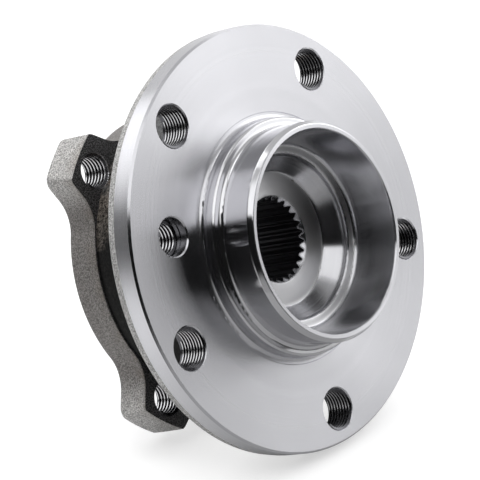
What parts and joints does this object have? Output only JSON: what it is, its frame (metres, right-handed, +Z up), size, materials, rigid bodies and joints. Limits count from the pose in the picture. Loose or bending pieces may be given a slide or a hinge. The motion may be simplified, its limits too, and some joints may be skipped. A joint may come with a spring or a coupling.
{
  "type": "wheel hub bearing",
  "caption": "Driven wheel hub bearing unit: threaded wheel flange with stepped pilots and a splined bore, turning on two rows of balls in an outer ring with threaded ears.",
  "frame": {"origin": "on the axis of rotation, in the flat wheel face of the flange that the brake disc bolts to", "axes": "+Y along the axis of rotation from the wheel side towards the knuckle, +Z up, +X across; the four ears of the outer ring stand at equal distances from the XY and YZ planes"},
  "size_m": [0.1422, 0.0823, 0.1422],
  "materials": {
    "hub_steel": "turned faces, forged flange back",
    "ring_steel": "forged, with phosphated ear faces",
    "race_steel": "ground bearing steel",
    "ball_steel": "polished bearing steel",
    "cage_nylon": "moulded glass-filled polyamide",
    "seal_steel": "pressed stainless sheet",
    "seal_rubber": "matt nitrile rubber",
    "encoder_rubber": "smooth magnetic rubber"
  },
  "bodies": {
    "housing": {"outer_ring": "ring_steel", "outboard_seal_case": "seal_steel", "outboard_seal_lips": "seal_rubber", "inboard_seal_case": "seal_steel", "inboard_seal_lips": "seal_rubber"},
    "spindle": {"hub": "hub_steel", "inner_ring": "race_steel", "slinger": "seal_steel", "encoder_ring": "encoder_rubber"},
    "outboard_cage": {"outboard_cage": "cage_nylon"},
    "inboard_cage": {"inboard_cage": "cage_nylon"},
    "outboard_ball_1": {"outboard_ball_1": "ball_steel"},
    "outboard_ball_2": {"outboard_ball_2": "ball_steel"},
    "outboard_ball_3": {"outboard_ball_3": "ball_steel"},
    "outboard_ball_4": {"outboard_ball_4": "ball_steel"},
    "outboard_ball_5": {"outboard_ball_5": "ball_steel"},
    "outboard_ball_6": {"outboard_ball_6": "ball_steel"},
    "outboard_ball_7": {"outboard_ball_7": "ball_steel"},
    "outboard_ball_8": {"outboard_ball_8": "ball_steel"},
    "outboard_ball_9": {"outboard_ball_9": "ball_steel"},
    "outboard_ball_10": {"outboard_ball_10": "ball_steel"},
    "outboard_ball_11": {"outboard_ball_11": "ball_steel"},
    "outboard_ball_12": {"outboard_ball_12": "ball_steel"},
    "outboard_ball_13": {"outboard_ball_13": "ball_steel"},
    "outboard_ball_14": {"outboard_ball_14": "ball_steel"},
    "inboard_ball_1": {"inboard_ball_1": "ball_steel"},
    "inboard_ball_2": {"inboard_ball_2": "ball_steel"},
    "inboard_ball_3": {"inboard_ball_3": "ball_steel"},
    "inboard_ball_4": {"inboard_ball_4": "ball_steel"},
    "inboard_ball_5": {"inboard_ball_5": "ball_steel"},
    "inboard_ball_6": {"inboard_ball_6": "ball_steel"},
    "inboard_ball_7": {"inboard_ball_7": "ball_steel"},
    "inboard_ball_8": {"inboard_ball_8": "ball_steel"},
    "inboard_ball_9": {"inboard_ball_9": "ball_steel"},
    "inboard_ball_10": {"inboard_ball_10": "ball_steel"},
    "inboard_ball_11": {"inboard_ball_11": "ball_steel"},
    "inboard_ball_12": {"inboard_ball_12": "ball_steel"},
    "inboard_ball_13": {"inboard_ball_13": "ball_steel"},
    "inboard_ball_14": {"inboard_ball_14": "ball_steel"}
  },
  "joints": [
    {"name": "hub_spin", "type": "hinge", "parent": "housing", "child": "spindle", "pos_m": [0, 0, 0], "axis": [0, 1, 0], "continuous": true},
    {"name": "outboard_cage_spin", "type": "hinge", "parent": "housing", "child": "outboard_cage", "pos_m": [0, 0.0282, 0], "axis": [0, 1, 0], "continuous": true},
    {"name": "inboard_cage_spin", "type": "hinge", "parent": "housing", "child": "inboard_cage", "pos_m": [0, 0.0458, 0], "axis": [0, 1, 0], "continuous": true},
    {"name": "outboard_ball_1_spin", "type": "hinge", "parent": "outboard_cage", "child": "outboard_ball_1", "pos_m": [-0.00757, 0.0282, 0.03315], "axis": [0.1276, 0.8192, -0.5592], "continuous": true},
    {"name": "outboard_ball_2_spin", "type": "hinge", "parent": "outboard_cage", "child": "outboard_ball_2", "pos_m": [-0.0212, 0.0282, 0.02658], "axis": [0.3576, 0.8192, -0.4484], "continuous": true},
    {"name": "outboard_ball_3_spin", "type": "hinge", "parent": "outboard_cage", "child": "outboard_ball_3", "pos_m": [-0.03063, 0.0282, 0.01475], "axis": [0.5168, 0.8192, -0.2489], "continuous": true},
    {"name": "outboard_ball_4_spin", "type": "hinge", "parent": "outboard_cage", "child": "outboard_ball_4", "pos_m": [-0.034, 0.0282, 0], "axis": [0.5736, 0.8192, 0], "continuous": true},
    {"name": "outboard_ball_5_spin", "type": "hinge", "parent": "outboard_cage", "child": "outboard_ball_5", "pos_m": [-0.03063, 0.0282, -0.01475], "axis": [0.5168, 0.8192, 0.2489], "continuous": true},
    {"name": "outboard_ball_6_spin", "type": "hinge", "parent": "outboard_cage", "child": "outboard_ball_6", "pos_m": [-0.0212, 0.0282, -0.02658], "axis": [0.3576, 0.8192, 0.4484], "continuous": true},
    {"name": "outboard_ball_7_spin", "type": "hinge", "parent": "outboard_cage", "child": "outboard_ball_7", "pos_m": [-0.00757, 0.0282, -0.03315], "axis": [0.1276, 0.8192, 0.5592], "continuous": true},
    {"name": "outboard_ball_8_spin", "type": "hinge", "parent": "outboard_cage", "child": "outboard_ball_8", "pos_m": [0.00757, 0.0282, -0.03315], "axis": [-0.1276, 0.8192, 0.5592], "continuous": true},
    {"name": "outboard_ball_9_spin", "type": "hinge", "parent": "outboard_cage", "child": "outboard_ball_9", "pos_m": [0.0212, 0.0282, -0.02658], "axis": [-0.3576, 0.8192, 0.4484], "continuous": true},
    {"name": "outboard_ball_10_spin", "type": "hinge", "parent": "outboard_cage", "child": "outboard_ball_10", "pos_m": [0.03063, 0.0282, -0.01475], "axis": [-0.5168, 0.8192, 0.2489], "continuous": true},
    {"name": "outboard_ball_11_spin", "type": "hinge", "parent": "outboard_cage", "child": "outboard_ball_11", "pos_m": [0.034, 0.0282, 0], "axis": [-0.5736, 0.8192, 0], "continuous": true},
    {"name": "outboard_ball_12_spin", "type": "hinge", "parent": "outboard_cage", "child": "outboard_ball_12", "pos_m": [0.03063, 0.0282, 0.01475], "axis": [-0.5168, 0.8192, -0.2489], "continuous": true},
    {"name": "outboard_ball_13_spin", "type": "hinge", "parent": "outboard_cage", "child": "outboard_ball_13", "pos_m": [0.0212, 0.0282, 0.02658], "axis": [-0.3576, 0.8192, -0.4484], "continuous": true},
    {"name": "outboard_ball_14_spin", "type": "hinge", "parent": "outboard_cage", "child": "outboard_ball_14", "pos_m": [0.00757, 0.0282, 0.03315], "axis": [-0.1276, 0.8192, -0.5592], "continuous": true},
    {"name": "inboard_ball_1_spin", "type": "hinge", "parent": "inboard_cage", "child": "inboard_ball_1", "pos_m": [-0.00757, 0.0458, 0.03315], "axis": [-0.1276, 0.8192, 0.5592], "continuous": true},
    {"name": "inboard_ball_2_spin", "type": "hinge", "parent": "inboard_cage", "child": "inboard_ball_2", "pos_m": [-0.0212, 0.0458, 0.02658], "axis": [-0.3576, 0.8192, 0.4484], "continuous": true},
    {"name": "inboard_ball_3_spin", "type": "hinge", "parent": "inboard_cage", "child": "inboard_ball_3", "pos_m": [-0.03063, 0.0458, 0.01475], "axis": [-0.5168, 0.8192, 0.2489], "continuous": true},
    {"name": "inboard_ball_4_spin", "type": "hinge", "parent": "inboard_cage", "child": "inboard_ball_4", "pos_m": [-0.034, 0.0458, 0], "axis": [-0.5736, 0.8192, 0], "continuous": true},
    {"name": "inboard_ball_5_spin", "type": "hinge", "parent": "inboard_cage", "child": "inboard_ball_5", "pos_m": [-0.03063, 0.0458, -0.01475], "axis": [-0.5168, 0.8192, -0.2489], "continuous": true},
    {"name": "inboard_ball_6_spin", "type": "hinge", "parent": "inboard_cage", "child": "inboard_ball_6", "pos_m": [-0.0212, 0.0458, -0.02658], "axis": [-0.3576, 0.8192, -0.4484], "continuous": true},
    {"name": "inboard_ball_7_spin", "type": "hinge", "parent": "inboard_cage", "child": "inboard_ball_7", "pos_m": [-0.00757, 0.0458, -0.03315], "axis": [-0.1276, 0.8192, -0.5592], "continuous": true},
    {"name": "inboard_ball_8_spin", "type": "hinge", "parent": "inboard_cage", "child": "inboard_ball_8", "pos_m": [0.00757, 0.0458, -0.03315], "axis": [0.1276, 0.8192, -0.5592], "continuous": true},
    {"name": "inboard_ball_9_spin", "type": "hinge", "parent": "inboard_cage", "child": "inboard_ball_9", "pos_m": [0.0212, 0.0458, -0.02658], "axis": [0.3576, 0.8192, -0.4484], "continuous": true},
    {"name": "inboard_ball_10_spin", "type": "hinge", "parent": "inboard_cage", "child": "inboard_ball_10", "pos_m": [0.03063, 0.0458, -0.01475], "axis": [0.5168, 0.8192, -0.2489], "continuous": true},
    {"name": "inboard_ball_11_spin", "type": "hinge", "parent": "inboard_cage", "child": "inboard_ball_11", "pos_m": [0.034, 0.0458, 0], "axis": [0.5736, 0.8192, 0], "continuous": true},
    {"name": "inboard_ball_12_spin", "type": "hinge", "parent": "inboard_cage", "child": "inboard_ball_12", "pos_m": [0.03063, 0.0458, 0.01475], "axis": [0.5168, 0.8192, 0.2489], "continuous": true},
    {"name": "inboard_ball_13_spin", "type": "hinge", "parent": "inboard_cage", "child": "inboard_ball_13", "pos_m": [0.0212, 0.0458, 0.02658], "axis": [0.3576, 0.8192, 0.4484], "continuous": true},
    {"name": "inboard_ball_14_spin", "type": "hinge", "parent": "inboard_cage", "child": "inboard_ball_14", "pos_m": [0.00757, 0.0458, 0.03315], "axis": [0.1276, 0.8192, 0.5592], "continuous": true}
  ],
  "couplings": [
    {"joint": "outboard_cage_spin", "follows": "hub_spin", "ratio": 0.4283},
    {"joint": "inboard_cage_spin", "follows": "hub_spin", "ratio": 0.4283},
    {"joint": "outboard_ball_1_spin", "follows": "hub_spin", "ratio": -2.7984},
    {"joint": "outboard_ball_2_spin", "follows": "hub_spin", "ratio": -2.7984},
    {"joint": "outboard_ball_3_spin", "follows": "hub_spin", "ratio": -2.7984},
    {"joint": "outboard_ball_4_spin", "follows": "hub_spin", "ratio": -2.7984},
    {"joint": "outboard_ball_5_spin", "follows": "hub_spin", "ratio": -2.7984},
    {"joint": "outboard_ball_6_spin", "follows": "hub_spin", "ratio": -2.7984},
    {"joint": "outboard_ball_7_spin", "follows": "hub_spin", "ratio": -2.7984},
    {"joint": "outboard_ball_8_spin", "follows": "hub_spin", "ratio": -2.7984},
    {"joint": "outboard_ball_9_spin", "follows": "hub_spin", "ratio": -2.7984},
    {"joint": "outboard_ball_10_spin", "follows": "hub_spin", "ratio": -2.7984},
    {"joint": "outboard_ball_11_spin", "follows": "hub_spin", "ratio": -2.7984},
    {"joint": "outboard_ball_12_spin", "follows": "hub_spin", "ratio": -2.7984},
    {"joint": "outboard_ball_13_spin", "follows": "hub_spin", "ratio": -2.7984},
    {"joint": "outboard_ball_14_spin", "follows": "hub_spin", "ratio": -2.7984},
    {"joint": "inboard_ball_1_spin", "follows": "hub_spin", "ratio": -2.7984},
    {"joint": "inboard_ball_2_spin", "follows": "hub_spin", "ratio": -2.7984},
    {"joint": "inboard_ball_3_spin", "follows": "hub_spin", "ratio": -2.7984},
    {"joint": "inboard_ball_4_spin", "follows": "hub_spin", "ratio": -2.7984},
    {"joint": "inboard_ball_5_spin", "follows": "hub_spin", "ratio": -2.7984},
    {"joint": "inboard_ball_6_spin", "follows": "hub_spin", "ratio": -2.7984},
    {"joint": "inboard_ball_7_spin", "follows": "hub_spin", "ratio": -2.7984},
    {"joint": "inboard_ball_8_spin", "follows": "hub_spin", "ratio": -2.7984},
    {"joint": "inboard_ball_9_spin", "follows": "hub_spin", "ratio": -2.7984},
    {"joint": "inboard_ball_10_spin", "follows": "hub_spin", "ratio": -2.7984},
    {"joint": "inboard_ball_11_spin", "follows": "hub_spin", "ratio": -2.7984},
    {"joint": "inboard_ball_12_spin", "follows": "hub_spin", "ratio": -2.7984},
    {"joint": "inboard_ball_13_spin", "follows": "hub_spin", "ratio": -2.7984},
    {"joint": "inboard_ball_14_spin", "follows": "hub_spin", "ratio": -2.7984}
  ]
}
